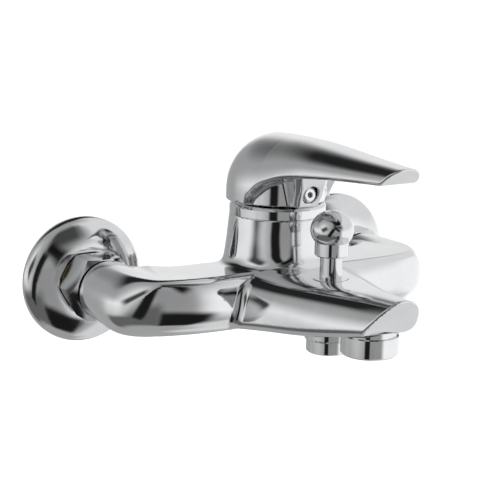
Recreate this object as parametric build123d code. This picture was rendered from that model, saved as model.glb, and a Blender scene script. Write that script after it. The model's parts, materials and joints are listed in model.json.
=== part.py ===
"""Wall mounted bath mixer: single lever, ceramic disc cartridge, pull-up diverter, bath spout.

Frame: millimetres. The origin is midway between the two inlets, on the wall face.
+X runs along the wall to the right, +Y goes into the wall, +Z is up, so the spout points along -Y.
Parts on an inlet axis are drawn standing on the XY plane, with their height as the distance from
the wall, and are then laid down by on_inlet().
"""
import math
import os

from build123d import *

# Driving dimensions
INLET_SPACING = 150.0        # standard centre distance of wall outlets
WALL_PIPE_OFFSET = 5.0       # how far the eccentric unions lift the wall pipes above the inlets
G_HALF_RADIUS = 10.48        # G1/2 male thread, outside radius
G_THREE_QUARTER_RADIUS = 13.2  # G3/4 male thread, outside radius
THREAD_GAP = 0.07            # radial clearance of a thread that is drawn plain
TOWER_Y = -62.3              # axis of the tower, its cartridge and the lever's swivel
DIVERTER_Y = -109.0          # axis of the diverter knob and of the shower outlet below it
AERATOR_Y = -141.0           # axis of the aerator
LEVER_LEAN = 11.0            # degrees that the lever stem leans forward when the water is off
LEVER_LIFT = 22.0            # degrees of lift from closed to fully open
DIVERTER_TRAVEL = 9.0        # how far the diverter knob pulls up
SHELL = 1.3                  # wall of the pressed escutcheons

# Mixer body
ARM_FRONT = -83.4            # front face of the two arms beside the spout
ARM_BACK = -49.0
ARM_TOP = 14.6
ARM_BOTTOM = -14.7
ELBOW_RADIUS = 15.0          # round end of each elbow, facing the wall
ELBOW_FACE = -30.0
ELBOW_BACK_BEND = -48.0      # where the elbow's outer side starts to run straight to the wall
INNER_CORNER = 7.0
ARM_TOP_EDGE = 6.0           # softness of the arms' upper edges
ARM_BOTTOM_EDGE = 9.5
TOWER_TOP = 38.4
TOWER_TOP_RADIUS = 23.3
TOWER_FOOT_RADIUS = 26.2
SPOUT_END_SLOPE = 0.7        # forward overhang of the spout's cut face per millimetre of height
SPOUT_END_Y = -153.7         # where that face would meet Z = 0
WATERWAY_RADIUS = 7.0
WATERWAY_Y = -64.0

# Distances from the wall along an inlet axis
ESCUTCHEON_RADIUS = 31.5
ESCUTCHEON_HEIGHT = 10.0
NUT_BACK = 12.0
NUT_FRONT = 28.0
NUT_ACROSS_FLATS = 30.0
UNION_END = 20.0
WASHER_THICKNESS = 2.0
SEAT_FLANGE = 2.4

# Cartridge, heights
SEAT_FLOOR = 5.0
SEAT_RADIUS = 18.0
NUT_THREAD_RADIUS = 20.0
BASE_TOP = 8.5
PORT_RADIUS = 2.6
HOUSING_RADIUS = 17.5
FIXED_DISC_RADIUS = 15.2
MOVING_DISC_RADIUS = 11.5
FIXED_DISC_TOP = 12.5
MOVING_DISC_TOP = 16.0
CARRIER_TOP = 19.6
GUIDE_BOTTOM = 20.0
HOUSING_TOP = 31.0
GUIDE_NECK_RADIUS = 9.0
PIVOT_HEIGHT = 24.5          # the lever's tilt axis
STEM_FOOT = 5.8              # from the tilt axis down to the ball that pushes the disc
STEM_LENGTH = 34.0           # from the tilt axis up to the stem's end
STEM_WIDTH = 7.0
BALL_RADIUS = 2.4
COLLAR_TOP = 44.0
COLLAR_BORE = 17.8
NUT_HEAD_RADIUS = 16.9
NUT_HEAD_TOP = 41.5

# Handle
HANDLE_BOTTOM = 45.2
HANDLE_TOP = 78.2
DOME_TOP = 77.0
HANDLE_RADIUS = 25.4
HUB_RADIUS = 22.7
HUB_BORE = 21.2
NOSE_HALF_WIDTH = 8.0        # block under the blade that holds the handle screw
NOSE_FRONT = -93.0
HANDLE_TIP_SLOPE = 0.9       # forward overhang of the tip's cut face per millimetre of height
HANDLE_TIP_Y = -97.5
HANDLE_SCREW_HEIGHT = 51.0

# Diverter, shower outlet and aerator, heights
SPOUT_TOP_AT_DIVERTER = 15.5
KNOB_BALL_RADIUS = 10.0
KNOB_BALL_HEIGHT = 38.05
KNOB_BALL_FLATNESS = 0.9     # height of the ball over its width
KNOB_NECK_RADIUS = 7.8
KNOB_NECK_BOTTOM = 26.1
SLEEVE_RADIUS = 5.15
SLEEVE_TOP = 36.2
SPINDLE_RADIUS = 2.5
SPINDLE_TOP = 42.5
BONNET_BOTTOM = 10.2
SPRING_SEAT = 12.2           # top of the spindle's flange
DIVERTER_CHAMBER_RADIUS = 8.0
LOWER_SEAT = -9.0
UPPER_SEAT = 3.0
DIVERTER_WASHER = 3.0        # thickness, so that seat distance = washer + travel
NIPPLE_SHOULDER = -13.0
NIPPLE_BOTTOM = -19.0
VALVE_TOP = -11.4            # non-return valve in the nipple
VALVE_SEAT = -12.6
VALVE_FLOOR = -17.4
POPPET_BOTTOM = -13.8
AERATOR_RADIUS = 13.0
AERATOR_TOP = -3.0
AERATOR_BOTTOM = -12.0

INLET_SIDES = {"hot": -1, "cold": 1}


def upright(radius, low, high, x=0.0, y=0.0):
    """A cylinder on a vertical axis at x, y."""
    return Pos(x, y, (low + high) / 2) * Cylinder(radius, high - low)


def tube(outer, inner, low, high, x=0.0, y=0.0):
    """A ring on a vertical axis at x, y."""
    return upright(outer, low, high, x, y) - upright(inner, low, high, x, y)


def block(x_range, y_range, z_range):
    """A box between two corners."""
    size = [high - low for low, high in (x_range, y_range, z_range)]
    centre = [(high + low) / 2 for low, high in (x_range, y_range, z_range)]
    return Pos(*centre) * Box(*size)


def turned(points):
    """A solid turned about Z from an outline of radius and height."""
    return revolve(make_face(Plane.XZ * Polyline(*points, close=True)), Axis.Z)


def on_inlet(side, shape):
    """Lay a standing part down on an inlet axis, its height running out from the wall."""
    return Pos(side * INLET_SPACING / 2, 0, 0) * Rot(90, 0, 0) * shape


def on_tower(shape):
    """Move a part from the Z axis to the tower's axis."""
    return Pos(0, TOWER_Y, 0) * shape


def leaning(shape):
    """Tilt a part that stands on the lever's pivot to the closed position of the lever."""
    return Pos(0, TOWER_Y, PIVOT_HEIGHT) * Rot(LEVER_LEAN, 0, 0) * shape


def coil_spring(coil_radius, wire_radius, low, high, turns, y):
    """A round-wire compression spring on a vertical axis."""
    height = high - low - 2 * wire_radius
    path = Helix(pitch=height / turns, height=height, radius=coil_radius)
    wire = Plane(origin=path @ 0, z_dir=path % 0) * Circle(wire_radius)
    return Pos(0, y, low + wire_radius) * sweep(wire, path=path)


def domed_section(y, foot, crown, bottom, top):
    """A flat-bottomed arch across the spout or lever: half widths at foot and near the crown."""
    height = top - bottom
    shoulder = (foot + crown) / 2
    arch = Spline(
        (-foot, bottom),
        (-shoulder, bottom + 0.45 * height),
        (-crown * 0.88, bottom + 0.86 * height),
        (0, top),
        (crown * 0.88, bottom + 0.86 * height),
        (shoulder, bottom + 0.45 * height),
        (foot, bottom),
    )
    outline = make_face([arch, Line((foot, bottom), (-foot, bottom))])
    return Plane(origin=(0, y, 0), x_dir=(1, 0, 0), z_dir=(0, -1, 0)) * outline


def beyond_slanted_face(face_y, slope, height):
    """The space in front of a face that overhangs forward as it rises."""
    reach = 60
    corners = [
        (face_y, 0),
        (face_y - slope * height, height),
        (face_y - slope * height - reach, height),
        (face_y - slope * height - reach, -height),
        (face_y + slope * height, -height),
    ]
    side_view = make_face(Plane.YZ * Polyline(*corners, close=True))
    return extrude(side_view, amount=reach, both=True)


# Mixer body
def arm_solid():
    """Both arms and elbows: a plan outline with soft edges below and tighter ones above."""
    outer = INLET_SPACING / 2 + ELBOW_RADIUS
    inner = INLET_SPACING / 2 - ELBOW_RADIUS
    half = [
        Spline(
            (0, ARM_FRONT), (-30, ARM_FRONT + 0.1), (-57, ARM_FRONT + 1.6), (-74, ARM_FRONT + 6.8),
            (-outer + 4.5, ARM_FRONT + 16.5), (-outer, ELBOW_BACK_BEND),
            tangents=((-1, 0), (0, 1)),
        ),
        Line((-outer, ELBOW_BACK_BEND), (-outer, ELBOW_FACE)),
        Line((-outer, ELBOW_FACE), (-inner, ELBOW_FACE)),
        Line((-inner, ELBOW_FACE), (-inner, ARM_BACK)),
        Line((-inner, ARM_BACK), (0, ARM_BACK)),
        Line((0, ARM_BACK), (0, ARM_FRONT)),
    ]
    left = Pos(0, 0, ARM_BOTTOM) * extrude(make_face(half), amount=ARM_TOP - ARM_BOTTOM)
    both = left + mirror(left, about=Plane.YZ)
    inner_corners = [e for e in both.edges().filter_by(Axis.Z) if abs(e.center().Y - ARM_BACK) < 0.1]
    both = fillet(inner_corners, INNER_CORNER)
    both = fillet(rim_edges(both, ARM_TOP), ARM_TOP_EDGE)
    return fillet(rim_edges(both, ARM_BOTTOM), ARM_BOTTOM_EDGE)


def rim_edges(solid, height):
    """The edges round a level face of the arms, without those at the wall side of the elbows."""
    level = [e for e in solid.edges() if abs(e.center().Z - height) < 0.1]
    return [e for e in level if abs(e.center().Y - ELBOW_FACE) > 0.1]


def spout_solid():
    """The spout and the flared centre that it grows from, tapering and rising to a cut end."""
    sections = [
        domed_section(-50, 34.0, 27.0, -13.0, 13.0),
        domed_section(-80, 35.6, 25.5, -12.0, 15.0),
        domed_section(-110, 27.5, 20.0, -9.6, SPOUT_TOP_AT_DIVERTER),
        domed_section(-132, 20.5, 16.5, -5.6, 16.2),
        domed_section(-155, 14.6, 13.0, -0.8, 17.0),
        domed_section(-176, 10.5, 9.5, 3.0, 17.0),
    ]
    whole = loft(sections)
    return whole - beyond_slanted_face(SPOUT_END_Y, SPOUT_END_SLOPE, 40)


def tower_solid():
    """The slightly tapered tower that holds the cartridge."""
    return on_tower(turned([
        (0, ARM_BOTTOM), (17, ARM_BOTTOM), (23, -10), (TOWER_FOOT_RADIUS, -4),
        (TOWER_FOOT_RADIUS, 13),
        (25.6, 18.7), (24.6, 26), (TOWER_TOP_RADIUS, TOWER_TOP), (0, TOWER_TOP),
    ]))


def body_waterways():
    """Everything cut out of the body: cartridge seat, channels, diverter chamber and threads."""
    inlet_x = INLET_SPACING / 2
    cuts = [
        on_tower(upright(SEAT_RADIUS, SEAT_FLOOR, HOUSING_TOP)),
        on_tower(upright(NUT_THREAD_RADIUS, HOUSING_TOP, TOWER_TOP)),
        upright(4.0, -3, SEAT_FLOOR, 0, TOWER_Y - 8),
        upright(DIVERTER_CHAMBER_RADIUS, LOWER_SEAT, UPPER_SEAT, 0, DIVERTER_Y),
        upright(4.6, UPPER_SEAT, 5, 0, DIVERTER_Y),
        upright(DIVERTER_CHAMBER_RADIUS, 5, 20, 0, DIVERTER_Y),
        upright(9.0, NIPPLE_SHOULDER, LOWER_SEAT, 0, DIVERTER_Y),
        upright(12.0, AERATOR_TOP - 6, 3, 0, AERATOR_Y),
        upright(9.5, 3, 8.5, 0, AERATOR_Y),
        block((-4, 4), (AERATOR_Y, DIVERTER_Y), (5, 9)),
    ]
    mixed_length = abs(DIVERTER_Y - TOWER_Y + 8)
    mixed_middle = (DIVERTER_Y + TOWER_Y - 8) / 2
    cuts.append(Pos(0, mixed_middle, -3) * Rot(90, 0, 0) * Cylinder(4.0, mixed_length))
    for side in INLET_SIDES.values():
        thread = upright(9.0, -ELBOW_FACE, 41)
        down_leg = upright(WATERWAY_RADIUS, 40, -WATERWAY_Y)
        cuts.append(on_inlet(side, thread + down_leg))
        arm = Cylinder(WATERWAY_RADIUS, inlet_x - 3)
        cuts.append(Pos(side * (inlet_x + 9) / 2, WATERWAY_Y, -3) * Rot(0, 90, 0) * arm)
        cuts.append(upright(3.2, -3, SEAT_FLOOR, side * 8, TOWER_Y + 3))
    return cuts


def mixer_body():
    """The one casting: arms, tower and spout, hollow for the water."""
    boss = upright(11.6, NIPPLE_SHOULDER, 0, 0, DIVERTER_Y)
    solid = arm_solid() + spout_solid() + tower_solid() + boss
    for cut in body_waterways():
        solid -= cut
    flat = block((-20, 20), (AERATOR_Y - 30, AERATOR_Y + AERATOR_RADIUS + 1), (-30, AERATOR_TOP))
    return solid - (flat & upright(AERATOR_RADIUS + 0.4, -30, AERATOR_TOP, 0, AERATOR_Y))


# Wall connections
def eccentric_union():
    """Eccentric connector: G3/4 male towards the mixer, G1/2 male into the wall."""
    room_end = upright(G_THREE_QUARTER_RADIUS, 4, UNION_END)
    wall_end = upright(G_HALF_RADIUS, -15, 0, 0, WALL_PIPE_OFFSET)
    neck = loft([
        Pos(0, WALL_PIPE_OFFSET, 0) * Circle(G_HALF_RADIUS),
        Pos(0, 0, 4) * Circle(G_THREE_QUARTER_RADIUS),
    ])
    bore = upright(9.5, 4, UNION_END) + upright(6.5, -15, 4.5, 0, WALL_PIPE_OFFSET)
    strainer_seat = upright(11.2, UNION_END - 1.2, UNION_END)
    return room_end + wall_end + neck - bore - strainer_seat


def escutcheon(side):
    """Domed wall flange with a rolled rim and a pillar for its grub screw."""
    dome_radius = ESCUTCHEON_RADIUS
    hole = G_THREE_QUARTER_RADIUS + 0.3
    outer = [
        Line((dome_radius, 0), (dome_radius, 1.6)),
        Spline(
            (dome_radius, 1.6), (30.2, 4.4), (25.5, 7.6), (19.5, 9.5), (hole, ESCUTCHEON_HEIGHT)
        ),
    ]
    inner = [
        Line((hole, ESCUTCHEON_HEIGHT), (hole, ESCUTCHEON_HEIGHT - SHELL)),
        Spline(
            (hole, ESCUTCHEON_HEIGHT - SHELL), (19.3, 8.2), (24.8, 6.4), (29.0, 3.6),
            (dome_radius - SHELL, 1.4)
        ),
        Line((dome_radius - SHELL, 1.4), (dome_radius - SHELL, 0)),
        Line((dome_radius - SHELL, 0), (dome_radius, 0)),
    ]
    shell = revolve(Plane.XZ * make_face(outer + inner), Axis.Z)
    x, z = escutcheon_screw_place(side)
    pillar = upright(4.0, 1.0, 7.0, x, z)
    return shell + pillar - upright(2.4, 0, 12, x, z)


def escutcheon_screw_place(side):
    """Centre of the grub screw from the escutcheon's centre, towards the tower and up."""
    return -side * 9.4, 19.3


def escutcheon_screw(side):
    """Grub screw with a hexagon socket, its tip on the wall."""
    x, z = escutcheon_screw_place(side)
    return upright(2.33, 0, 6.4, x, z) - Pos(x, z, 4.2) * extrude(
        RegularPolygon(1.25, 6, major_radius=False), amount=2.2
    )


def union_nut():
    """Hexagon nut: threaded over the union, its lip behind the seat's flange."""
    hexagon = Pos(0, 0, NUT_BACK) * extrude(
        RegularPolygon(NUT_ACROSS_FLATS / 2, 6, major_radius=False), amount=NUT_FRONT - NUT_BACK
    )
    corner = NUT_ACROSS_FLATS / math.sqrt(3)
    barrel = turned([
        (0, NUT_BACK), (corner - 1.6, NUT_BACK), (corner, NUT_BACK + 1), (corner, NUT_FRONT - 2),
        (corner - 2.6, NUT_FRONT), (0, NUT_FRONT),
    ])
    flange_front = UNION_END + WASHER_THICKNESS + SEAT_FLANGE
    thread = upright(G_THREE_QUARTER_RADIUS + THREAD_GAP, NUT_BACK, flange_front + 0.1)
    return (hexagon & barrel) - thread - upright(10.8, flange_front, NUT_FRONT)


def inlet_seat():
    """Hollow seat screwed into the elbow; its flange carries the union nut."""
    flange_back = UNION_END + WASHER_THICKNESS
    flange = upright(12.7, flange_back, flange_back + SEAT_FLANGE)
    shank = upright(10.5, flange_back, -ELBOW_FACE)
    spigot = upright(8.95, -ELBOW_FACE, -ELBOW_FACE + 9)
    hexagon = Pos(0, 0, flange_back) * extrude(RegularPolygon(6, 6, major_radius=False), amount=20)
    return flange + shank + spigot - hexagon


def union_washer():
    """Flat fibre washer between the union and the seat."""
    return tube(12.6, 7.5, UNION_END, UNION_END + WASHER_THICKNESS)


def inlet_strainer():
    """Perforated disc in the end of the union."""
    disc = upright(11.1, UNION_END - 1.2, UNION_END - 0.4)
    for ring, count in ((3.2, 6), (6.2, 12), (8.4, 16)):
        for step in range(count):
            angle = 2 * math.pi * step / count
            hole = upright(0.85, 15, 22, ring * math.cos(angle), ring * math.sin(angle))
            disc -= hole
    return disc


# Cartridge
def port_holes(low, high, radius):
    """The three ports of the cartridge: hot, cold and mixed."""
    hot = upright(radius, low, high, -8, 3)
    cold = upright(radius, low, high, 8, 3)
    mixed = upright(radius, low, high, 0, -8)
    return hot + cold + mixed


def cartridge_base():
    """Plastic base that stands on the seat floor."""
    plate = upright(HOUSING_RADIUS - 0.2, SEAT_FLOOR, BASE_TOP)
    plate -= port_holes(SEAT_FLOOR, BASE_TOP, PORT_RADIUS)
    grooves = port_holes(SEAT_FLOOR, SEAT_FLOOR + 1.2, 4.0)
    return on_tower(plate - grooves)


def cartridge_seals():
    """Three ring seals, one for each port."""
    rings = port_holes(SEAT_FLOOR, SEAT_FLOOR + 1.2, 3.95)
    return on_tower(rings - port_holes(SEAT_FLOOR, SEAT_FLOOR + 1.2, 2.7))


def fixed_ceramic_disc():
    """Lower ceramic disc with the three ports."""
    disc = upright(FIXED_DISC_RADIUS, BASE_TOP, FIXED_DISC_TOP)
    return on_tower(disc - port_holes(BASE_TOP, FIXED_DISC_TOP, PORT_RADIUS))


def closed_offset():
    """How far the moving disc stands behind the tower's axis when the water is off."""
    return STEM_FOOT * math.sin(math.radians(LEVER_LEAN))


def moving_ceramic_disc():
    """Upper ceramic disc; its recess joins the inlets to the outlet as it slides forward."""
    disc = upright(MOVING_DISC_RADIUS, FIXED_DISC_TOP, MOVING_DISC_TOP, 0, closed_offset())
    recess = upright(4.6, FIXED_DISC_TOP, FIXED_DISC_TOP + 1.6, 0, closed_offset() - 3)
    return on_tower(disc - recess)


def disc_carrier():
    """Plastic carrier that the stem's ball pushes to and fro."""
    plate = upright(MOVING_DISC_RADIUS, MOVING_DISC_TOP, CARRIER_TOP, 0, closed_offset())
    ball_height = PIVOT_HEIGHT - STEM_FOOT * math.cos(math.radians(LEVER_LEAN))
    socket = upright(BALL_RADIUS + 0.06, MOVING_DISC_TOP, CARRIER_TOP, 0, closed_offset())
    well = Pos(0, closed_offset(), ball_height) * Cylinder(BALL_RADIUS + 0.06, 8)
    return on_tower(plate - socket - well)


def lever_guide():
    """Turning guide in the cartridge: its neck comes out of the housing, its slot holds the stem."""
    turned_part = upright(FIXED_DISC_RADIUS, GUIDE_BOTTOM, HOUSING_TOP - 2.0)
    neck = upright(GUIDE_NECK_RADIUS, HOUSING_TOP - 2.0, HOUSING_TOP + 2.5)
    slot = block((-STEM_WIDTH / 2 - 0.1, STEM_WIDTH / 2 + 0.1), (-6, 6), (GUIDE_BOTTOM, 40))
    pin_hole = Pos(0, 0, PIVOT_HEIGHT) * Rot(0, 90, 0) * Cylinder(1.52, 40)
    return on_tower(turned_part + neck - slot - pin_hole)


def guide_pin():
    """Steel pin that the stem tilts on."""
    return on_tower(Pos(0, 0, PIVOT_HEIGHT) * Rot(0, 90, 0) * Cylinder(1.5, 26))


def lever_stem():
    """Square steel stem with a ball foot, leaning forward when closed."""
    half = STEM_WIDTH / 2
    bar = block((-half, half), (-half, half), (-3.2, STEM_LENGTH))
    foot = Pos(0, 0, -STEM_FOOT) * Sphere(BALL_RADIUS)
    ankle = upright(1.8, -STEM_FOOT, -3)
    pin_hole = Rot(0, 90, 0) * Cylinder(1.55, 20)
    return leaning(bar + foot + ankle - pin_hole)


def cartridge_housing():
    """Plastic housing over the discs, with the hole that the guide's neck turns in."""
    shell = upright(HOUSING_RADIUS, BASE_TOP, HOUSING_TOP)
    shell -= upright(FIXED_DISC_RADIUS + 0.3, BASE_TOP, HOUSING_TOP - 1.9)
    return on_tower(shell - upright(GUIDE_NECK_RADIUS + 0.06, HOUSING_TOP - 3, HOUSING_TOP + 1))


def cartridge_nut():
    """Brass nut that clamps the cartridge, with a smooth head for the collar."""
    thread = upright(NUT_THREAD_RADIUS - THREAD_GAP, HOUSING_TOP, TOWER_TOP - 0.6)
    head = upright(NUT_HEAD_RADIUS, HOUSING_TOP, NUT_HEAD_TOP)
    nut = thread + head - upright(11.0, HOUSING_TOP, NUT_HEAD_TOP)
    for step in range(4):
        notch = Rot(0, 0, 90 * step) * block((10, 14.5), (-2, 2), (NUT_HEAD_TOP - 2, NUT_HEAD_TOP))
        nut -= notch
    return on_tower(nut)


def collar_seal():
    """Rubber ring that grips the collar on the nut."""
    return on_tower(tube(COLLAR_BORE, NUT_HEAD_RADIUS, 39.4, 40.9))


def trim_collar():
    """Chromed ring that hides the nut, with a rounded upper edge."""
    collar = turned([
        (COLLAR_BORE, TOWER_TOP), (TOWER_TOP_RADIUS, TOWER_TOP),
        (TOWER_TOP_RADIUS, COLLAR_TOP - 1.6), (TOWER_TOP_RADIUS - 0.7, COLLAR_TOP - 0.6),
        (TOWER_TOP_RADIUS - 1.6, COLLAR_TOP), (COLLAR_BORE, COLLAR_TOP),
    ])
    return on_tower(collar)


# Handle
def handle_dome():
    """The round back of the handle, turned about the tower's axis."""
    outline = Plane.XZ * make_face([
        Spline(
            (22.9, HANDLE_BOTTOM), (HANDLE_RADIUS, 50), (24.9, 56), (22.4, 62), (18.2, 68),
            (11.5, 73.2), (5.8, 76.0), (0, DOME_TOP)
        ),
        Line((0, DOME_TOP), (0, HANDLE_BOTTOM)),
        Line((0, HANDLE_BOTTOM), (22.9, HANDLE_BOTTOM)),
    ])
    return on_tower(revolve(outline, Axis.Z))


def handle_blade():
    """The lever blade: a domed section that narrows and thins towards its cut tip."""
    sections = [
        domed_section(TOWER_Y, 25.0, 14.0, 54.0, DOME_TOP),
        domed_section(-80, 23.4, 15.0, 56.6, HANDLE_TOP),
        domed_section(-100, 18.9, 14.6, 60.8, HANDLE_TOP),
        domed_section(-125, 14.9, 12.2, 63.4, 76.6),
        domed_section(-150, 11.4, 9.8, 65.4, 74.8),
        domed_section(-176, 8.4, 7.4, 66.6, 72.6),
    ]
    return loft(sections) - beyond_slanted_face(HANDLE_TIP_Y, HANDLE_TIP_SLOPE, 90)


def arch_cut():
    """Space below the blade: the skirt's front edge sweeps up to the blade's underside."""
    side_view = make_face([
        Line((TOWER_Y + 10, HANDLE_BOTTOM - 5), (TOWER_Y - 40, HANDLE_BOTTOM - 5)),
        Line((TOWER_Y - 40, HANDLE_BOTTOM - 5), (TOWER_Y - 40, 61.0)),
        Spline(
            (TOWER_Y - 40, 61.0), (-90, 58.8), (-80, 55.6), (-74, 50.8), (-71.5, HANDLE_BOTTOM - 1)
        ),
        Line((-71.5, HANDLE_BOTTOM - 1), (TOWER_Y + 10, HANDLE_BOTTOM - 5)),
    ])
    slab = extrude(Plane.YZ * side_view, amount=40, both=True)
    return slab - on_tower(upright(HUB_RADIUS, 30, 70))


def handle():
    """Lever: domed cover with its blade, the hub below it and the nose that holds the screw."""
    cover = handle_dome() + handle_blade() - arch_cut()
    hub = on_tower(upright(HUB_RADIUS, HANDLE_BOTTOM, 62))
    nose_width = (-NOSE_HALF_WIDTH, NOSE_HALF_WIDTH)
    nose = block(nose_width, (NOSE_FRONT, TOWER_Y), (HANDLE_BOTTOM, 61))
    nose = fillet(nose.edges().filter_by(Axis.Z).sort_by(Axis.Y)[:2], 3.5)
    hollow = on_tower(upright(HUB_BORE, HANDLE_BOTTOM, 56))
    socket_wall = leaning(block((-8, 8), (-8, 8), (22.5, 38)))
    front_wall = block(nose_width, (NOSE_FRONT + 1, TOWER_Y - 8), (HANDLE_BOTTOM, 58))
    solid = cover + hub + nose - hollow
    solid += (socket_wall & on_tower(upright(HUB_RADIUS, HANDLE_BOTTOM + 0.4, 62)))
    solid += (front_wall & on_tower(upright(HUB_RADIUS, HANDLE_BOTTOM + 0.4, 62)))
    half = STEM_WIDTH / 2 + 0.05
    solid -= leaning(block((-half, half), (-half, half), (15, STEM_LENGTH + 0.2)))
    screw_axis = Pos(0, 0, HANDLE_SCREW_HEIGHT) * Rot(90, 0, 0)
    solid -= screw_axis * upright(2.5, 59, -NOSE_FRONT)
    return solid - screw_axis * upright(4.2, 83.5, -NOSE_FRONT + 1)


def handle_screw():
    """Grub screw in the nose, tightened on the stem."""
    axis = Pos(0, 0, HANDLE_SCREW_HEIGHT) * Rot(90, 0, 0)
    stem_face = -(TOWER_Y - (HANDLE_SCREW_HEIGHT - PIVOT_HEIGHT) * math.tan(math.radians(LEVER_LEAN))
                  - STEM_WIDTH / 2 / math.cos(math.radians(LEVER_LEAN)))
    screw = upright(2.45, stem_face + 0.6, 84.5)
    socket = Pos(0, 0, 82) * extrude(RegularPolygon(1.5, 6, major_radius=False), amount=3)
    return axis * (screw - socket)


# Diverter
def diverter_knob():
    """Ball knob on a short neck, bored to slide over the bonnet's sleeve."""
    ball = scale(Sphere(KNOB_BALL_RADIUS), by=(1, 1, KNOB_BALL_FLATNESS))
    ball = Pos(0, 0, KNOB_BALL_HEIGHT) * ball
    neck = upright(KNOB_NECK_RADIUS, KNOB_NECK_BOTTOM, KNOB_BALL_HEIGHT)
    neck = chamfer(neck.edges().sort_by(Axis.Z)[0], 0.5)
    bore = upright(SLEEVE_RADIUS + THREAD_GAP, KNOB_NECK_BOTTOM, SLEEVE_TOP + 0.3)
    thread = upright(SPINDLE_RADIUS, KNOB_NECK_BOTTOM, SPINDLE_TOP + 0.5)
    return Pos(0, DIVERTER_Y, 0) * (ball + neck - bore - thread)


def diverter_spindle():
    """Brass spindle: threaded into the knob, with a flange for the spring and a foot below."""
    rod = upright(SPINDLE_RADIUS - 0.04, LOWER_SEAT + DIVERTER_WASHER, SPINDLE_TOP)
    spring_flange = upright(3.9, SPRING_SEAT - 1.2, SPRING_SEAT)
    foot = upright(1.5, LOWER_SEAT - 2, LOWER_SEAT + DIVERTER_WASHER)
    return Pos(0, DIVERTER_Y, 0) * (rod + spring_flange + foot)


def diverter_bonnet():
    """Screwed bonnet in the spout with a sleeve that guides the spindle and the knob."""
    plug = upright(DIVERTER_CHAMBER_RADIUS - 0.05, BONNET_BOTTOM, SPOUT_TOP_AT_DIVERTER)
    sleeve = upright(SLEEVE_RADIUS, BONNET_BOTTOM, SLEEVE_TOP)
    cavity = upright(4.2, BONNET_BOTTOM, SLEEVE_TOP - 4.2)
    return Pos(0, DIVERTER_Y, 0) * (
        plug + sleeve - cavity - upright(SPINDLE_RADIUS + 0.02, 10, SLEEVE_TOP + 1)
        - upright(3.9, SLEEVE_TOP - 2.8, SLEEVE_TOP - 1.2)
    )


def bonnet_seal():
    """Ring seal under the bonnet."""
    return tube(DIVERTER_CHAMBER_RADIUS - 0.05, 5.2, 9.0, BONNET_BOTTOM, 0, DIVERTER_Y)


def spindle_seal():
    """Ring seal round the spindle in the sleeve's groove."""
    return tube(3.85, SPINDLE_RADIUS + 0.02, SLEEVE_TOP - 2.8, SLEEVE_TOP - 1.2, 0, DIVERTER_Y)


def diverter_spring():
    """Return spring between the spindle's flange and the sleeve's closed end."""
    return coil_spring(3.3, 0.35, SPRING_SEAT, SLEEVE_TOP - 4.2, 7, DIVERTER_Y)


def diverter_washer():
    """Rubber valve washer that closes the shower seat at rest and the spout seat when pulled."""
    return tube(6.2, 1.5, LOWER_SEAT, LOWER_SEAT + DIVERTER_WASHER, 0, DIVERTER_Y)


def diverter_washer_nut():
    """Small nut that holds the valve washer on the spindle's foot."""
    hexagon = Pos(0, 0, LOWER_SEAT - 1.6) * extrude(
        RegularPolygon(2.75, 6, major_radius=False), amount=1.6
    )
    return Pos(0, DIVERTER_Y, 0) * (hexagon - upright(1.5, LOWER_SEAT - 3, LOWER_SEAT))


# Shower outlet
def shower_nipple():
    """Shower hose connection; its upper rim is the diverter's lower seat."""
    skirt = turned([
        (0, NIPPLE_BOTTOM), (G_HALF_RADIUS - 0.6, NIPPLE_BOTTOM),
        (G_HALF_RADIUS, NIPPLE_BOTTOM + 0.6), (G_HALF_RADIUS, NIPPLE_SHOULDER),
        (8.95, NIPPLE_SHOULDER), (8.95, LOWER_SEAT), (0, LOWER_SEAT),
    ])
    bore = upright(7.0, NIPPLE_BOTTOM, VALVE_TOP)
    return Pos(0, DIVERTER_Y, 0) * (skirt - bore - upright(4.6, NIPPLE_BOTTOM, LOWER_SEAT))


def check_valve_body():
    """Plastic cage of the non-return valve, pushed up into the nipple."""
    cage = upright(6.95, -18.6, VALVE_TOP) - upright(5.6, VALVE_FLOOR, VALVE_SEAT)
    inlet = upright(3.4, VALVE_SEAT, VALVE_TOP)
    guide = upright(1.1, -19, VALVE_FLOOR)
    body = cage - inlet - guide
    for step in range(3):
        angle = math.radians(120 * step + 30)
        body -= upright(1.5, -19, -17, 3.6 * math.cos(angle), 3.6 * math.sin(angle))
    return Pos(0, DIVERTER_Y, 0) * body


def check_poppet():
    """Poppet of the non-return valve, closed upwards on its seat."""
    disc = upright(4.4, POPPET_BOTTOM, VALVE_SEAT)
    stem = upright(1.05, -18.4, POPPET_BOTTOM)
    return Pos(0, DIVERTER_Y, 0) * (disc + stem)


def check_spring():
    """Spring that closes the poppet."""
    return coil_spring(1.9, 0.2, VALVE_FLOOR, POPPET_BOTTOM, 4, DIVERTER_Y)


# Aerator
def aerator_housing():
    """Chromed ring screwed into the spout, with a thread above its visible skirt."""
    ring = turned([
        (0, AERATOR_BOTTOM), (AERATOR_RADIUS - 0.8, AERATOR_BOTTOM),
        (AERATOR_RADIUS, AERATOR_BOTTOM + 0.8), (AERATOR_RADIUS, AERATOR_TOP),
        (11.93, AERATOR_TOP), (11.93, 2.0), (0, 2.0),
    ])
    bore = upright(10.0, AERATOR_BOTTOM + 1.4, 2.0) + upright(8.8, AERATOR_BOTTOM, 0)
    return Pos(0, AERATOR_Y, 0) * (ring - bore)


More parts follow.
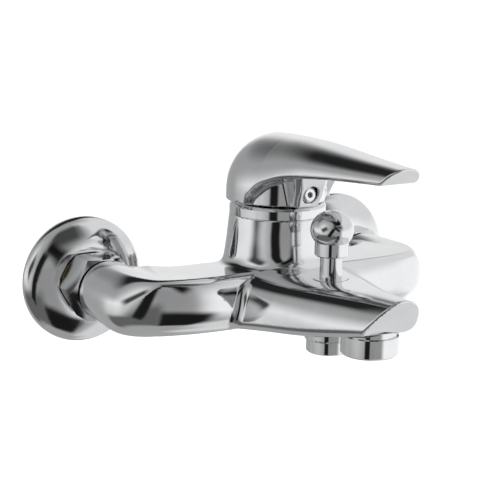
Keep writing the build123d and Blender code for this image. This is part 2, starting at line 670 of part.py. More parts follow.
def aerator_insert():
    """Plastic jet former: a cup with a ring of holes over crossed bars."""
    cup = upright(9.95, AERATOR_BOTTOM + 1.4, 1.0) - upright(8.6, AERATOR_BOTTOM + 1.4, -0.2)
    for ring, count in ((3.0, 6), (6.4, 12)):
        for step in range(count):
            angle = 2 * math.pi * step / count
            cup -= upright(0.8, -1, 2, ring * math.cos(angle), ring * math.sin(angle))
    bars = []
    for place in (-5.4, -2.7, 0, 2.7, 5.4):
        half = math.sqrt(9.2 ** 2 - place ** 2)
        z_range = (AERATOR_BOTTOM + 1.4, AERATOR_BOTTOM + 3.4)
        bars.append(block((place - 0.3, place + 0.3), (-half, half), z_range))
        bars.append(block((-half, half), (place - 0.3, place + 0.3), z_range))
    for bar in bars:
        cup += bar
    return Pos(0, AERATOR_Y, 0) * cup


def aerator_screen():
    """Domed steel screen on top of the jet former."""
    screen = upright(9.6, 1.0, 1.5)
    for ring, count in ((2.4, 6), (4.8, 12), (7.2, 18)):
        for step in range(count):
            angle = 2 * math.pi * step / count
            screen -= upright(0.7, 0, 3, ring * math.cos(angle), ring * math.sin(angle))
    return Pos(0, AERATOR_Y, 0) * screen


def aerator_washer():
    """Rubber washer between the aerator and the spout."""
    return tube(11.6, 9.6, 2.0, 3.0, 0, AERATOR_Y)


def all_parts():
    """Every node's name and shape."""
    parts = {
        "mixer_body": mixer_body(),
        "escutcheon_screws": Compound(
            [on_inlet(side, escutcheon_screw(side)) for side in INLET_SIDES.values()]
        ),
        "cartridge_base": cartridge_base(),
        "cartridge_seals": cartridge_seals(),
        "fixed_ceramic_disc": fixed_ceramic_disc(),
        "moving_ceramic_disc": moving_ceramic_disc(),
        "disc_carrier": disc_carrier(),
        "lever_guide": lever_guide(),
        "guide_pin": guide_pin(),
        "lever_stem": lever_stem(),
        "cartridge_housing": cartridge_housing(),
        "cartridge_nut": cartridge_nut(),
        "collar_seal": collar_seal(),
        "trim_collar": trim_collar(),
        "handle": handle(),
        "handle_screw": handle_screw(),
        "diverter_knob": diverter_knob(),
        "diverter_spindle": diverter_spindle(),
        "diverter_bonnet": diverter_bonnet(),
        "bonnet_seal": bonnet_seal(),
        "spindle_seal": spindle_seal(),
        "diverter_spring": diverter_spring(),
        "diverter_washer": diverter_washer(),
        "diverter_washer_nut": diverter_washer_nut(),
        "shower_nipple": shower_nipple(),
        "check_valve_body": check_valve_body(),
        "check_poppet": check_poppet(),
        "check_spring": check_spring(),
        "aerator_housing": aerator_housing(),
        "aerator_insert": aerator_insert(),
        "aerator_screen": aerator_screen(),
        "aerator_washer": aerator_washer(),
    }
    for name, side in INLET_SIDES.items():
        parts[name + "_union"] = on_inlet(side, eccentric_union())
        parts[name + "_escutcheon"] = on_inlet(side, escutcheon(side))
        parts[name + "_union_nut"] = on_inlet(side, union_nut())
        parts[name + "_inlet_seat"] = on_inlet(side, inlet_seat())
        parts[name + "_union_washer"] = on_inlet(side, union_washer())
        parts[name + "_inlet_strainer"] = on_inlet(side, inlet_strainer())
    return parts


os.makedirs("parts", exist_ok=True)
for node, shape in all_parts().items():
    export_step(shape, f"parts/{node}.step")
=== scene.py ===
"""Looks of the wall mounted bath mixer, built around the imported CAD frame.

The cast body and the lever are drawn as fields: functions of a point in millimetres that are
negative inside the metal and close to the distance from its surface. skin() turns a field into a
mesh. In a field, reach is the distance out from the wall, which is minus the frame's Y.
Every other piece is the CAD node itself with a better material.
"""
import json
import math

import bpy
import numpy as np
from mathutils import Matrix, Vector


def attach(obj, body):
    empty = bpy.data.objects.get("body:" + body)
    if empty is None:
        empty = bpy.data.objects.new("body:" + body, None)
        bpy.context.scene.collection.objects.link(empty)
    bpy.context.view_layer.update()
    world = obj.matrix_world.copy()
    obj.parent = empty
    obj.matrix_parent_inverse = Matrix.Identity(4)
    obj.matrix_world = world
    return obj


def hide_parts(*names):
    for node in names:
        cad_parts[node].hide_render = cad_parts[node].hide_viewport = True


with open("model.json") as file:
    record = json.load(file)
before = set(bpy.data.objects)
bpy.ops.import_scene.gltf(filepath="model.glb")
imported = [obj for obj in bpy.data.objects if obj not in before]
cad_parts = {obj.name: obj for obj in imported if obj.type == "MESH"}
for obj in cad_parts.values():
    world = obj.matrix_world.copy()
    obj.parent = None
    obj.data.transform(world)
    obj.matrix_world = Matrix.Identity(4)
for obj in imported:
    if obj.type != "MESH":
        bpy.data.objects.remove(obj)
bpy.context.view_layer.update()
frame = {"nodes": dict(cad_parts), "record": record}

MM = 0.001                   # the fields work in millimetres, Blender in metres

# Sizes shared with the CAD model, millimetres
INLET_X = 75.0
TOWER_REACH = 62.3
TOWER_TOP = 38.4
DIVERTER_REACH = 109.0
AERATOR_REACH = 141.0
ELBOW_RADIUS = 15.0
ELBOW_FACE = 30.0
PASSAGE_HEIGHT = -3.0        # middle of the water passages
HUB_RADIUS = 22.7
SCREW_HEIGHT = 51.0
PIVOT_HEIGHT = 24.5          # the lever's tilt axis
STEM_LEAN = math.radians(11.0)
ARM_BACK = 49.0

# Sizes of the skins, close to the CAD model's, millimetres
ARM_FRONT = 81.0
ARM_TOP = 14.5
ARM_BOTTOM = -14.7
HUB_BOTTOM = 44.7


# Field maths
def round_max(a, b, radius):
    """What a and b have in common, with an edge of that radius."""
    corner = np.hypot(np.maximum(a + radius, 0), np.maximum(b + radius, 0))
    return np.minimum(-radius, np.maximum(a, b)) + corner


def round_min(a, b, radius):
    """a and b together, with a fillet of that radius."""
    return -round_max(-a, -b, radius)


def soft_min(a, b, width):
    """a and b together, flowing into each other over a width."""
    near = np.maximum(width - np.abs(a - b), 0) / width
    return np.minimum(a, b) - near ** 3 * width / 6


def soft_floor(value, give):
    """The value, kept above zero with a soft corner."""
    return (value + np.sqrt(value ** 2 + give ** 2)) / 2


def smooth_step(low, high, t):
    """0 below low, 1 above high, smooth between."""
    t = np.clip((t - low) / (high - low), 0, 1)
    return t * t * (3 - 2 * t)


class Curve:
    """A natural cubic spline through a few (place, value) knots, straight beyond its ends."""

    def __init__(self, *knots):
        self.place, self.value = (np.array(column, float) for column in zip(*knots))
        step = np.diff(self.place)
        slope = np.diff(self.value) / step
        count = len(self.place)
        system = np.eye(count)
        right = np.zeros(count)
        for i in range(1, count - 1):
            system[i, i - 1:i + 2] = step[i - 1], 2 * (step[i - 1] + step[i]), step[i]
            right[i] = 6 * (slope[i] - slope[i - 1])
        self.bend = np.linalg.solve(system, right)
        self.step = step
        first = slope[0] - step[0] * self.bend[1] / 6
        last = slope[-1] + step[-1] * self.bend[-2] / 6
        self.end_slopes = first, last

    def __call__(self, t):
        inside = np.clip(t, self.place[0], self.place[-1])
        i = np.clip(np.searchsorted(self.place, inside) - 1, 0, len(self.step) - 1)
        h = self.step[i]
        b = (inside - self.place[i]) / h
        a = 1 - b
        line = a * self.value[i] + b * self.value[i + 1]
        bend = ((a ** 3 - a) * self.bend[i] + (b ** 3 - b) * self.bend[i + 1]) * h * h / 6
        before = np.minimum(t - self.place[0], 0) * self.end_slopes[0]
        after = np.maximum(t - self.place[-1], 0) * self.end_slopes[1]
        return line + bend + before + after

    def slope(self, t, step=0.05):
        """How steep the spline is at t."""
        return (self(t + step) - self(t - step)) / (2 * step)


def below_curve(curve, place, height):
    """Distance-like field of what lies below a curve drawn over place."""
    return (height - curve(place)) / np.hypot(1, curve.slope(place))


def cylinder(across, along, radius, low, high):
    """Field of a cylinder: across is the distance from its axis, along the place on it."""
    return np.maximum(across - radius, np.maximum(low - along, along - high))


def as_distance(level, x, s, z, step=0.3):
    """A level function divided by its own slope, so that it measures millimetres."""
    value = level(x, s, z)
    slope = np.sqrt(
        ((level(x + step, s, z) - value) / step) ** 2
        + ((level(x, s + step, z) - value) / step) ** 2
        + ((level(x, s, z + step) - value) / step) ** 2
    )
    return value / np.maximum(slope, 0.012)


# Mesh making
def grid_crossings(values, axes, axis):
    """Grid edges along one axis where the field changes sign: their cells, points and sense."""
    inside = values < 0
    here = [slice(None)] * 3
    there = [slice(None)] * 3
    here[axis] = slice(None, -1)
    there[axis] = slice(1, None)
    index = np.argwhere(inside[tuple(here)] != inside[tuple(there)])
    after = index.copy()
    after[:, axis] += 1
    start = values[tuple(index.T)]
    end = values[tuple(after.T)]
    points = np.stack([axes[i][index[:, i]] for i in range(3)], 1)
    cell = axes[axis][1] - axes[axis][0]
    points[:, axis] += cell * start / (start - end)
    return index, points, start < 0


def slope_of(field, points, step=0.08):
    """The field's gradient at points."""
    columns = []
    for axis in range(3):
        shift = np.zeros(3)
        shift[axis] = step
        ahead = field(*(points + shift).T)
        behind = field(*(points - shift).T)
        columns.append((ahead - behind) / (2 * step))
    return np.stack(columns, 1)


def onto_surface(field, points, cell):
    """Move points to where the field is zero."""
    value = field(*points.T)
    slope = slope_of(field, points)
    size = np.maximum((slope ** 2).sum(1), 0.05)
    move = slope * (value / size)[:, None]
    length = np.linalg.norm(move, axis=1)
    return points - move * np.minimum(1, 0.6 * cell / np.maximum(length, 1e-9))[:, None]


def normals_of(field, points):
    """Unit normals from the field's gradient."""
    normal = slope_of(field, points)
    return normal / np.maximum(np.linalg.norm(normal, axis=1), 1e-9)[:, None]


def surface_net(field, low, high, cell):
    """One point in each grid cell that the surface crosses, and the quads that join them."""
    axes = [np.arange(a - 2 * cell, b + 3 * cell, cell) for a, b in zip(low, high)]
    values = field(*np.meshgrid(*axes, indexing="ij"))
    shape = np.array(values.shape)
    total = int(shape.prod())
    sums = np.zeros((total, 3))
    counts = np.zeros(total)
    quads = []
    for axis in range(3):
        index, points, leaving = grid_crossings(values, axes, axis)
        b, c = (axis + 1) % 3, (axis + 2) % 3
        ring = []
        for back_b, back_c in ((0, 0), (1, 0), (1, 1), (0, 1)):
            around = index.copy()
            around[:, b] -= back_b
            around[:, c] -= back_c
            ring.append(np.ravel_multi_index(around.T, shape))
        for flat in ring:
            counts += np.bincount(flat, minlength=total)
            for i in range(3):
                sums[:, i] += np.bincount(flat, weights=points[:, i], minlength=total)
        face = np.stack(ring, 1)
        face[leaving] = face[leaving][:, ::-1]
        quads.append(face)
    used = np.flatnonzero(counts)
    renumber = np.zeros(total, int)
    renumber[used] = np.arange(len(used))
    return sums[used] / counts[used, None], renumber[np.concatenate(quads)]


def even_out(field, points, quads, cell, rounds=4):
    """Slide each point along the surface towards the middle of its neighbours."""
    pairs = np.concatenate([quads[:, [i, (i + 1) % 4]] for i in range(4)])
    pairs = np.concatenate([pairs, pairs[:, ::-1]])
    start, end = pairs.T
    count = len(points)
    degree = np.bincount(start, minlength=count)
    for _ in range(rounds):
        sums = [np.bincount(start, weights=points[end, i], minlength=count) for i in range(3)]
        pull = np.stack(sums, 1) / degree[:, None] - points
        normal = normals_of(field, points)
        pull -= normal * (pull * normal).sum(1)[:, None]
        points = onto_surface(field, points + 0.5 * pull, cell)
    return onto_surface(field, points, cell)


def skin(name, field, low, high, cell):
    """A smooth closed mesh of the field's surface, with normals from the field itself."""
    points, quads = surface_net(field, low, high, cell)
    points = even_out(field, points, quads, cell)
    normal = normals_of(field, points)
    to_frame = np.array([1.0, -1.0, 1.0])
    mesh = bpy.data.meshes.new(name)
    mesh.from_pydata((points * to_frame * MM).tolist(), [], quads.tolist())
    mesh.polygons.foreach_set("use_smooth", np.ones(len(mesh.polygons), bool))
    mesh.update()
    mesh.normals_split_custom_set_from_vertices((normal * to_frame).tolist())
    piece = bpy.data.objects.new(name, mesh)
    bpy.context.scene.collection.objects.link(piece)
    return piece


# Cast body: the tower's radius over its height, and the spout's section over its reach
TOWER_RADIUS = Curve((-20, 27.5), (0, 27.0), (14, 26.1), (25.7, 24.6), (33.6, 23.8), (38.4, 23.3))
SPOUT_FOOT = Curve((40, 46), (80, 35.6), (110, 27.1), (130, 21.4), (154, 14.9), (170, 12.2))
SPOUT_UNDERSIDE = Curve(
    (40, -14), (70, -13.0), (95, -9.9), (118, -7.2), (141, -3.0), (155, -0.4), (170, 2.2)
)
SPOUT_TOP = Curve(
    (40, 12.5), (66, 14.2), (80, 15.4), (95, 15.2), (115, 15.4), (140, 16.4), (170, 17.6)
)
SPOUT_SQUARENESS = Curve((40, 5.0), (80, 4.8), (105, 4.0), (130, 2.8), (152, 2.25), (170, 2.15))
SPOUT_LEAN = Curve((40, 0.20), (80, 0.14), (105, 0.06), (130, 0.01), (152, 0), (170, 0))
SPOUT_END = 153.4
SPOUT_END_LEAN = 0.7
PLAN_MIDDLE_X = 30.0         # where the superellipse of the elbow's plan has its middle
PLAN_MIDDLE_REACH = 48.0
PLAN_HALF_LENGTH = 61.5
PLAN_HALF_DEPTH = 35.3


def arm_plan(ax, s, z):
    """Outline of an arm from above, a superellipse that swings round the elbow: zero on it."""
    belly = 0.9 - 3.0 * ((z - 3) / 14) ** 2
    rise = np.clip((z + 12) / 26, 0, 1)
    along = np.maximum(ax - PLAN_MIDDLE_X, 0) / (PLAN_HALF_LENGTH - 5.0 * rise)
    out = np.maximum(s - PLAN_MIDDLE_REACH, 0) / (PLAN_HALF_DEPTH + belly)
    power = 2.25 + 0.85 * rise
    return (along ** power + out ** power) ** (1 / power) - 1


def arm_field(ax, s, z):
    """One arm and its elbow: a soft box section that turns round towards the wall."""
    outer = as_distance(arm_plan, ax, s, z)
    hollow = round_max(s - ARM_BACK, ax - (INLET_X - ELBOW_RADIUS), 12)
    top = z - (ARM_TOP + 0.5 * np.clip((ARM_FRONT - s) / (ARM_FRONT - ARM_BACK), 0, 1))
    bottom = ARM_BOTTOM - z
    round_side = smooth_step(70, 87, ax)
    near = round_max(outer, bottom, 9.5 + 3 * round_side)
    near = round_max(near, top, 2.6 + 10 * round_side)
    far = round_max(round_max(-hollow, bottom, 8), top, 6)
    box = np.maximum(near, far)
    tube = np.hypot(ax - INLET_X, z) - ELBOW_RADIUS
    along = s - ELBOW_FACE + 4 * np.maximum(68 - ax, 0)
    squared = smooth_step(4, 44, along)
    return round_max(tube * (1 - squared) + box * squared, ELBOW_FACE - s, 0.7)


def tower_field(ax, s, z):
    """The tapered tower."""
    across = np.hypot(ax, s - TOWER_REACH)
    wall = (across - TOWER_RADIUS(z)) / np.hypot(1, TOWER_RADIUS.slope(z))
    return round_max(round_max(wall, z - TOWER_TOP, 0.5), -13.2 - z, 9)


def spout_level(x, s, z):
    """A flat-bottomed arch section that narrows along the spout: zero on its skin."""
    low = SPOUT_UNDERSIDE(s)
    rise = np.maximum(z - low, 0) / (SPOUT_TOP(s) - low)
    power = np.clip(SPOUT_SQUARENESS(s), 2, 5.2)
    side = (np.abs(x) + np.maximum(SPOUT_LEAN(s), 0) * np.maximum(z - low, 0)) / SPOUT_FOOT(s)
    return (side ** power + rise ** power) ** (1 / power) - 1


def spout_field(ax, s, z):
    """The flared centre and the spout, cut off by a face that overhangs forward."""
    skin_field = as_distance(spout_level, ax, s, z)
    body = round_max(skin_field, SPOUT_UNDERSIDE(s) - z, 4.5)
    body = round_max(body, ARM_BACK - s, 7)
    bulge = 1.6 * (1 - (ax / 15) ** 2) * (1 - ((z - 8) / 9) ** 2)
    end = s - SPOUT_END - SPOUT_END_LEAN * z - np.maximum(bulge, 0)
    end = end / math.hypot(1, SPOUT_END_LEAN)
    return round_max(body, end, 0.9)


def waterways(ax, s, z):
    """Everything hollow in the body that a pipe, seat or thread needs."""
    tower = np.hypot(ax, s - TOWER_REACH)
    diverter = np.hypot(ax, s - DIVERTER_REACH)
    aerator = np.hypot(ax, s - AERATOR_REACH)
    inlet = np.hypot(ax - INLET_X, z)
    up = z - PASSAGE_HEIGHT
    hollows = [
        cylinder(tower, z, 18, 5, 32),              # cartridge seat
        cylinder(tower, z, 20, 31, 60),             # cartridge nut's thread
        cylinder(diverter, z, 8, -9, 3),            # diverter chamber
        cylinder(diverter, z, 4.6, 2, 6),           # diverter's upper seat
        cylinder(diverter, z, 8, 5, 60),            # diverter bonnet
        cylinder(diverter, z, 9, -40, -9),          # shower outlet
        cylinder(aerator, z, 12, -40, 3),           # spout outlet
        cylinder(inlet, s, 9, 0, 41),               # inlet seats
        cylinder(inlet, s, 7, 40, 64),              # inlet bores
        cylinder(np.hypot(s - 64, up), ax, 7, 9, INLET_X),       # across each arm
        cylinder(np.hypot(ax, up), s, 4, 66, DIVERTER_REACH),    # out to the diverter
    ]
    return np.minimum.reduce(hollows)


def body_field(x, s, z):
    """The whole casting."""
    ax = np.abs(x)
    arms = arm_field(ax, s, z)
    spout = spout_field(ax, s, z)
    tower = tower_field(ax, s, z)
    boss = cylinder(np.hypot(ax, s - DIVERTER_REACH), z, 11.4, -13, 0)
    melt = 0.8 + 3.2 * (smooth_step(-13, -8, z) - smooth_step(9, 13.5, z))
    casting = round_min(arms, spout, melt)
    casting = soft_min(casting, tower, 7)
    casting = round_min(casting, boss, 2)
    skirt = cylinder(np.hypot(ax, s - AERATOR_REACH), z, 13.5, -40, -3)
    casting = np.maximum(casting, -skirt)
    return np.maximum(casting, -waterways(ax, s, z))


# Lever: the blade's outline and the nose's front, over reach and height
BLADE_HALF_WIDTH = Curve(
    (56.3, 25.1), (62.3, 25.4), (68.3, 25.1), (75, 24.1), (84, 22.3), (95, 20.0), (107, 17.9),
    (130, 14.4), (158, 10.2), (175, 8.4)
)
BLADE_TOP = Curve(
    (52.3, 76.8), (62.3, 77.0), (72, 77.3), (88, 77.6), (110, 76.6), (141, 74.9), (163, 74.0),
    (175, 73.4)
)
BLADE_UNDERSIDE = Curve(
    (70.5, 41), (72, 46.4), (74.5, 50.2), (78, 53.8), (84, 57.2), (93, 60.2), (107, 62.4),
    (130, 64.6), (158, 66.4), (175, 67.6)
)
NOSE_REACH = Curve((40, 87.5), (46, 88.8), (51, 91), (58, 93.2), (66, 95.5))
NOSE_HALF_WIDTH = 8.0
DOME_BASE = 50.0             # the height where the dome is widest
BLADE_END = 97.5
BLADE_END_LEAN = 0.9


def cover_level(x, s, z):
    """A dome that runs on as an arched, narrowing blade: zero on its skin."""
    ahead = TOWER_REACH + soft_floor(s - TOWER_REACH, 8)
    across = np.hypot(x, soft_floor(TOWER_REACH - s, 6))
    raised = smooth_step(TOWER_REACH, 112, ahead)
    low = DOME_BASE + (BLADE_UNDERSIDE(np.maximum(ahead, 80)) - DOME_BASE) * raised
    rise = soft_floor((z - low) / (BLADE_TOP(ahead) - low), 0.1)
    power = 2.0 + 0.4 * smooth_step(TOWER_REACH, 125, ahead)
    side = across / BLADE_HALF_WIDTH(ahead)
    return (side ** power + rise ** power) ** (1 / power) - 1


def cover_field(x, s, z):
    """Dome and blade in one skin, with the arch swept up to the blade's underside."""
    cover = as_distance(cover_level, x, s, z)
    cover = round_max(cover, HUB_BOTTOM - z, 0.8)
    cover = round_max(cover, -below_curve(BLADE_UNDERSIDE, s, z), 1.8)
    tip = (s - BLADE_END - BLADE_END_LEAN * z) / math.hypot(1, BLADE_END_LEAN)
    return round_max(cover, tip, 1.2)


def along_stem(s, z):
    """Place across and along the leaning stem."""
    out = s - TOWER_REACH
    up = z - PIVOT_HEIGHT
    across = out * math.cos(STEM_LEAN) - up * math.sin(STEM_LEAN)
    along = out * math.sin(STEM_LEAN) + up * math.cos(STEM_LEAN)
    return across, along


def lever_field(x, s, z):
    """The whole lever: cover, hub, screw nose, hollow and stem socket."""
    ax = np.abs(x)
    radius = np.hypot(x, s - TOWER_REACH)
    hub = cylinder(radius, z, HUB_RADIUS, HUB_BOTTOM, 56)
    nose_side = ax - NOSE_HALF_WIDTH - 0.17 * (z - SCREW_HEIGHT)
    nose = round_max(nose_side, s - NOSE_REACH(z), 3.0)
    nose = np.maximum(nose, np.maximum(TOWER_REACH - s, z - 62))
    nose = round_max(nose, HUB_BOTTOM - z, 0.8)
    solid = round_min(hub, nose, 2.0)
    melt = 0.6 + 1.2 * (1 - smooth_step(70, 84, s))
    solid = round_min(solid, cover_field(x, s, z), melt)
    solid = round_max(solid, HUB_BOTTOM - z, 0.6)
    across, along = along_stem(s, z)
    socket = np.maximum(np.maximum(ax, np.abs(across)) - 8, HUB_BOTTOM + 0.4 - z)
    bridge = np.maximum(np.maximum(ax - 7.6, TOWER_REACH + 8 - s), HUB_BOTTOM + 0.4 - z)
    hollow = cylinder(radius, z, 21.2, 0, 54)
    hollow = np.maximum(hollow, -np.minimum(socket, bridge))
    solid = np.maximum(solid, -hollow)
    slot = np.maximum(np.maximum(ax, np.abs(across)) - 3.55, along - 34.2)
    solid = np.maximum(solid, -slot)
    screw_axis = np.hypot(x, z - SCREW_HEIGHT)
    solid = np.maximum(solid, -cylinder(screw_axis, s, 2.5, 60, 93))
    return round_max(solid, -cylinder(screw_axis, s, 4.2, 83.5, 120), 0.4)


def screw_field(x, s, z):
    """Grub screw in the nose: a rounded head with a hexagon socket, and its shank."""
    up = z - SCREW_HEIGHT
    across = np.hypot(x, up)
    head = round_max(across - 3.9, s - 90.2, 1.5)
    head = np.maximum(head, 84 - s)
    shank = cylinder(across, s, 2.42, 75, 84.2)
    flats = [np.abs(x * math.cos(a) + up * math.sin(a)) for a in (0, math.pi / 3, -math.pi / 3)]
    socket = np.maximum(np.maximum.reduce(flats) - 1.25, 88 - s)
    return np.maximum(np.minimum(head, shank), -socket)


# Materials
def new_material(name):
    """A node material, with its nodes, links and main shader."""
    material = bpy.data.materials.new(name)
    material.use_nodes = True
    nodes = material.node_tree.nodes
    return material, nodes, material.node_tree.links, nodes["Principled BSDF"]


def noise(nodes, links, scale, detail=3.0, roughness=0.5):
    """Noise in the object's own space."""
    place = nodes.new("ShaderNodeTexCoord")
    texture = nodes.new("ShaderNodeTexNoise")
    texture.inputs["Scale"].default_value = scale
    texture.inputs["Detail"].default_value = detail
    texture.inputs["Roughness"].default_value = roughness
    links.new(place.outputs["Object"], texture.inputs["Vector"])
    return texture


def ramp(nodes, links, source, low, high, from_low=0.3, from_high=0.7):
    """Map a noise value to a range."""
    mapping = nodes.new("ShaderNodeMapRange")
    mapping.inputs["From Min"].default_value = from_low
    mapping.inputs["From Max"].default_value = from_high
    mapping.inputs["To Min"].default_value = low
    mapping.inputs["To Max"].default_value = high
    links.new(source, mapping.inputs["Value"])
    return mapping.outputs["Result"]


def tint(nodes, links, source, dark, light, low=0.3, high=0.7):
    """A colour that wanders between two tones."""
    colours = nodes.new("ShaderNodeValToRGB")
    colours.color_ramp.elements[0].position = low
    colours.color_ramp.elements[0].color = (*dark, 1)
    colours.color_ramp.elements[1].position = high
    colours.color_ramp.elements[1].color = (*light, 1)
    links.new(source, colours.inputs["Fac"])
    return colours.outputs["Color"]


def bump(nodes, links, shader, source, distance, strength=1.0):
    """Relief from a height."""
    relief = nodes.new("ShaderNodeBump")
    relief.inputs["Distance"].default_value = distance
    relief.inputs["Strength"].default_value = strength
    links.new(source, relief.inputs["Height"])
    links.new(relief.outputs["Normal"], shader.inputs["Normal"])


def chrome(name, smooth, hazy):
    """Bright chrome plate: faint water film, finger haze and a slow polish ripple."""
    material, nodes, links, shader = new_material(name)
    shader.inputs["Metallic"].default_value = 1.0
    haze = noise(nodes, links, 38, 6, 0.6)
    film = tint(nodes, links, haze.outputs["Fac"], (0.70, 0.71, 0.725), (0.80, 0.805, 0.81))
    links.new(film, shader.inputs["Base Color"])
    smear = noise(nodes, links, 90, 5, 0.65)
    links.new(ramp(nodes, links, smear.outputs["Fac"], smooth, hazy), shader.inputs["Roughness"])
    ripple = noise(nodes, links, 55, 2, 0.4)
    bump(nodes, links, shader, ripple.outputs["Fac"], 0.00012, 0.12)
    return material


def turned_metal(name, dark, light, roughness):
    """Machined metal with fine tool marks."""
    material, nodes, links, shader = new_material(name)
    shader.inputs["Metallic"].default_value = 1.0
    patina = noise(nodes, links, 160, 6, 0.6)
    links.new(tint(nodes, links, patina.outputs["Fac"], dark, light), shader.inputs["Base Color"])
    links.new(
        ramp(nodes, links, patina.outputs["Fac"], roughness * 0.8, roughness * 1.35),
        shader.inputs["Roughness"],
    )
    marks = nodes.new("ShaderNodeTexWave")
    marks.wave_type = "RINGS"
    marks.inputs["Scale"].default_value = 900
    marks.inputs["Distortion"].default_value = 1.5
    place = nodes.new("ShaderNodeTexCoord")
    links.new(place.outputs["Object"], marks.inputs["Vector"])
    bump(nodes, links, shader, marks.outputs["Fac"], 0.00003, 0.4)
    return material


def moulded(name, dark, light, roughness, grain, relief):
    """Rubber, fibre, plastic or ceramic with its own grain."""
    material, nodes, links, shader = new_material(name)
    body = noise(nodes, links, grain, 5, 0.6)
    links.new(tint(nodes, links, body.outputs["Fac"], dark, light), shader.inputs["Base Color"])
    links.new(
        ramp(nodes, links, body.outputs["Fac"], roughness * 0.85, min(roughness * 1.2, 1)),
        shader.inputs["Roughness"],
    )
    fine = noise(nodes, links, grain * 6, 2, 0.5)
    bump(nodes, links, shader, fine.outputs["Fac"], relief, 0.5)
    return material


def all_materials():
    """One material for each slot of the record."""
    return {
        "chrome": chrome("chrome", 0.04, 0.10),
        "brass": turned_metal("brass", (0.50, 0.34, 0.13), (0.74, 0.55, 0.27), 0.28),
        "steel": turned_metal("steel", (0.42, 0.42, 0.43), (0.63, 0.63, 0.64), 0.3),
        "ceramic": moulded("ceramic", (0.82, 0.80, 0.76), (0.92, 0.90, 0.87), 0.18, 300, 0.00001),
        "rubber": moulded("rubber", (0.012, 0.012, 0.013), (0.03, 0.03, 0.03), 0.7, 700, 0.00003),
        "fibre": moulded("fibre", (0.16, 0.05, 0.035), (0.27, 0.09, 0.07), 0.85, 900, 0.00004),
        "plastic": moulded("plastic", (0.74, 0.74, 0.72), (0.86, 0.86, 0.84), 0.4, 400, 0.00002),
        "grey_plastic": moulded(
            "grey_plastic", (0.13, 0.135, 0.14), (0.2, 0.2, 0.21), 0.45, 400, 0.00002
        ),
    }


def dress_frame(materials):
    """Give each CAD node the material of its slot."""
    slot_of = {part["node"]: part["material_slot"] for part in frame["record"]["subparts"]}
    pressed = chrome("pressed_chrome", 0.07, 0.12)
    for name, node in frame["nodes"].items():
        material = pressed if name.endswith("escutcheon") else materials[slot_of[name]]
        for holder in node.material_slots:
            holder.material = material
        if not node.material_slots:
            node.data.materials.append(material)


# Camera, light and floor
CAMERA_PLACE = (-366.36, -637.51, 169.22)
CAMERA_HEADING = math.radians(31.41)
CAMERA_PITCH = math.radians(-12.42)
CAMERA_ROLL = math.radians(1.116)
CAMERA_LENS = 103.56


def add_camera():
    """The camera at the viewing angle of the reference view."""
    forward = Vector((
        math.sin(CAMERA_HEADING) * math.cos(CAMERA_PITCH),
        math.cos(CAMERA_HEADING) * math.cos(CAMERA_PITCH),
        math.sin(CAMERA_PITCH),
    ))
    level = Vector((math.cos(CAMERA_HEADING), -math.sin(CAMERA_HEADING), 0))
    upward = level.cross(forward)
    right = level * math.cos(CAMERA_ROLL) + upward * math.sin(CAMERA_ROLL)
    up = upward * math.cos(CAMERA_ROLL) - level * math.sin(CAMERA_ROLL)
    data = bpy.data.cameras.new("camera")
    data.lens = CAMERA_LENS
    data.sensor_width = 36
    data.clip_start = 0.01
    camera = bpy.data.objects.new("camera", data)
    turn = Matrix((right, up, -forward)).transposed().to_4x4()
    camera.matrix_world = Matrix.Translation(Vector(CAMERA_PLACE) * MM) @ turn
    bpy.context.scene.collection.objects.link(camera)
    bpy.context.scene.camera = camera


# Studio panels that the chrome mirrors. Each has its azimuth, elevation, half width, half height,
# tilt and softness in degrees, and its brightness. Azimuth 0 is straight out from the wall and 90
# is the mixer's +X side. A later panel stands in front of an earlier one.
PANELS = {
    "left_wall": (-84, 12, 20, 26, 0, 24, 1.05),
    "left_strip": (-116, -1, 24, 8, 0, 14, 1.05),
    "right_wall": (82, 26, 62, 40, 0, 14, 0.85),
    "right_table": (78, -16, 60, 19, 0, 9, 1.12),
    "right_floor": (88, -54, 50, 18, 0, 8, 0.82),
    "back_right": (152, 8, 14, 18, 0, 12, 0.95),
    "back_cloth": (180, 56, 48, 24, 0, 10, 0.02),
    "front_table": (-10, -12, 20, 17, 0, 7, 0.34),
    "left_floor": (-75, -42, 55, 22, 0, 8, 0.14),
    "front_floor": (2, -48, 24, 17, 0, 5, 0.012),
    "dark_front": (-2, 38, 27, 22, 0, 12, 0.07),
    "doorway": (-76, 12, 18, 12, 40, 8, 0.07),
    "dark_figure": (-39, -6, 9, 30, -29, 3, 0.012),
    "dark_boom": (-7, 15, 19, 6, -43, 4, 0.006),
}
STUDIO_BRIGHTNESS = 0.42


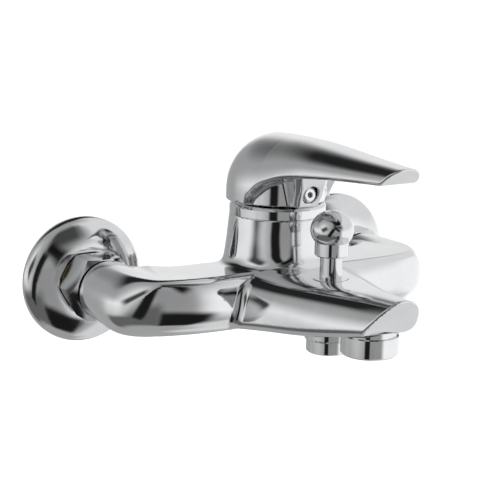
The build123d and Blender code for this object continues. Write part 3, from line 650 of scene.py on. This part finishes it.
def add_world():
    """A white background, and for reflections a studio of soft white and black panels."""
    world = bpy.data.worlds.new("studio")
    bpy.context.scene.world = world
    world.use_nodes = True
    nodes = world.node_tree.nodes
    links = world.node_tree.links

    def feed(socket, value):
        """Give a socket a number or another node's output."""
        if isinstance(value, (int, float)):
            socket.default_value = value
        else:
            links.new(value, socket)

    def calculate(operation, *values):
        """The result of one operation."""
        node = nodes.new("ShaderNodeMath")
        node.operation = operation
        for socket, value in zip(node.inputs, values):
            feed(socket, value)
        return node.outputs["Value"]

    def inside(offset, half, soft):
        """1 within half of the middle, falling to 0 over the softness."""
        edge = nodes.new("ShaderNodeMapRange")
        edge.interpolation_type = "SMOOTHSTEP"
        edge.inputs["From Min"].default_value = half + soft
        edge.inputs["From Max"].default_value = half - soft
        links.new(calculate("ABSOLUTE", offset), edge.inputs["Value"])
        return edge.outputs["Result"]

    def blend(factor, first, second):
        """The first value where the factor is 0, the second where it is 1."""
        node = nodes.new("ShaderNodeMix")
        for number, value in ((0, factor), (2, first), (3, second)):
            feed(node.inputs[number], value)
        return node.outputs[0]

    place = nodes.new("ShaderNodeTexCoord")
    split = nodes.new("ShaderNodeSeparateXYZ")
    links.new(place.outputs["Generated"], split.inputs["Vector"])
    toward = calculate("MULTIPLY", split.outputs["Y"], -1.0)
    azimuth = calculate("DEGREES", calculate("ARCTAN2", split.outputs["X"], toward))
    elevation = calculate("DEGREES", calculate("ARCSINE", split.outputs["Z"]))

    light = STUDIO_BRIGHTNESS
    for heading, height, half_width, half_height, tilt, soft, brightness in PANELS.values():
        across = calculate("WRAP", calculate("SUBTRACT", azimuth, heading), 180.0, -180.0)
        up = calculate("SUBTRACT", elevation, height)
        cos, sin = math.cos(math.radians(tilt)), math.sin(math.radians(tilt))
        along = calculate("ADD", calculate("MULTIPLY", across, cos), calculate("MULTIPLY", up, sin))
        over = calculate("SUBTRACT", calculate("MULTIPLY", up, cos), calculate("MULTIPLY", across, sin))
        wide = inside(along, half_width, soft)
        high = inside(over, half_height, soft)
        light = blend(calculate("MULTIPLY", wide, high), light, brightness)

    seen = nodes.new("ShaderNodeLightPath")
    strength = blend(seen.outputs["Is Camera Ray"], light, 1.0)
    links.new(strength, nodes["Background"].inputs["Strength"])
    nodes["Background"].inputs["Color"].default_value = (1, 1, 1, 1)
    bpy.context.scene.view_settings.view_transform = "Standard"


FLOOR_SIZE = 60.0
FLOOR_HEIGHT = -0.32


def add_floor():
    """Plain pale floor well below the mixer."""
    bpy.ops.mesh.primitive_plane_add(size=FLOOR_SIZE, location=(0, 0, FLOOR_HEIGHT))
    floor = bpy.context.object
    floor.name = "floor"
    material, nodes, links, shader = new_material("floor")
    shader.inputs["Base Color"].default_value = (0.93, 0.93, 0.93, 1)
    shader.inputs["Roughness"].default_value = 0.9
    floor.data.materials.append(material)
    floor.visible_glossy = False


def add_light(name, place, size, power):
    """A soft box aimed at the mixer."""
    data = bpy.data.lights.new(name, "AREA")
    data.shape = "RECTANGLE"
    data.size, data.size_y = size
    data.energy = power
    light = bpy.data.objects.new(name, data)
    light.location = place
    light.visible_glossy = False
    aim = Vector((0, -0.08, 0.03)) - light.location
    light.rotation_euler = aim.to_track_quat("-Z", "Y").to_euler()
    bpy.context.scene.collection.objects.link(light)


def add_ceiling():
    """Even, very soft light from above for the whole floor."""
    data = bpy.data.lights.new("ceiling", "SUN")
    data.energy = 2.6
    data.angle = math.radians(120)
    light = bpy.data.objects.new("ceiling", data)
    light.visible_glossy = False
    bpy.context.scene.collection.objects.link(light)


# Build
add_camera()
add_world()
add_floor()
add_light("key_light", (-0.9, -0.7, 1.4), (1.6, 1.6), 12)
add_light("fill_light", (1.6, -1.2, 0.9), (1.6, 1.6), 8)
add_ceiling()

materials = all_materials()
dress_frame(materials)
cell = 0.85    # millimetres between the body's grid points

body = skin("cast_body", body_field, (-91, 29, -20), (91, 170, 39), cell)
body.data.materials.append(materials["chrome"])
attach(body, "faucet_body")
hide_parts("mixer_body")

lever = skin("lever_handle", lever_field, (-27, 35, 43), (27, 170, 80), cell * 0.75)
lever.data.materials.append(materials["chrome"])
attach(lever, "lever")
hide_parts("handle")

screw = skin("lever_screw", screw_field, (-4, 75, 47), (4, 90, 55), cell * 0.3)
screw.data.materials.append(materials["chrome"])
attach(screw, "lever")
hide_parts("handle_screw")
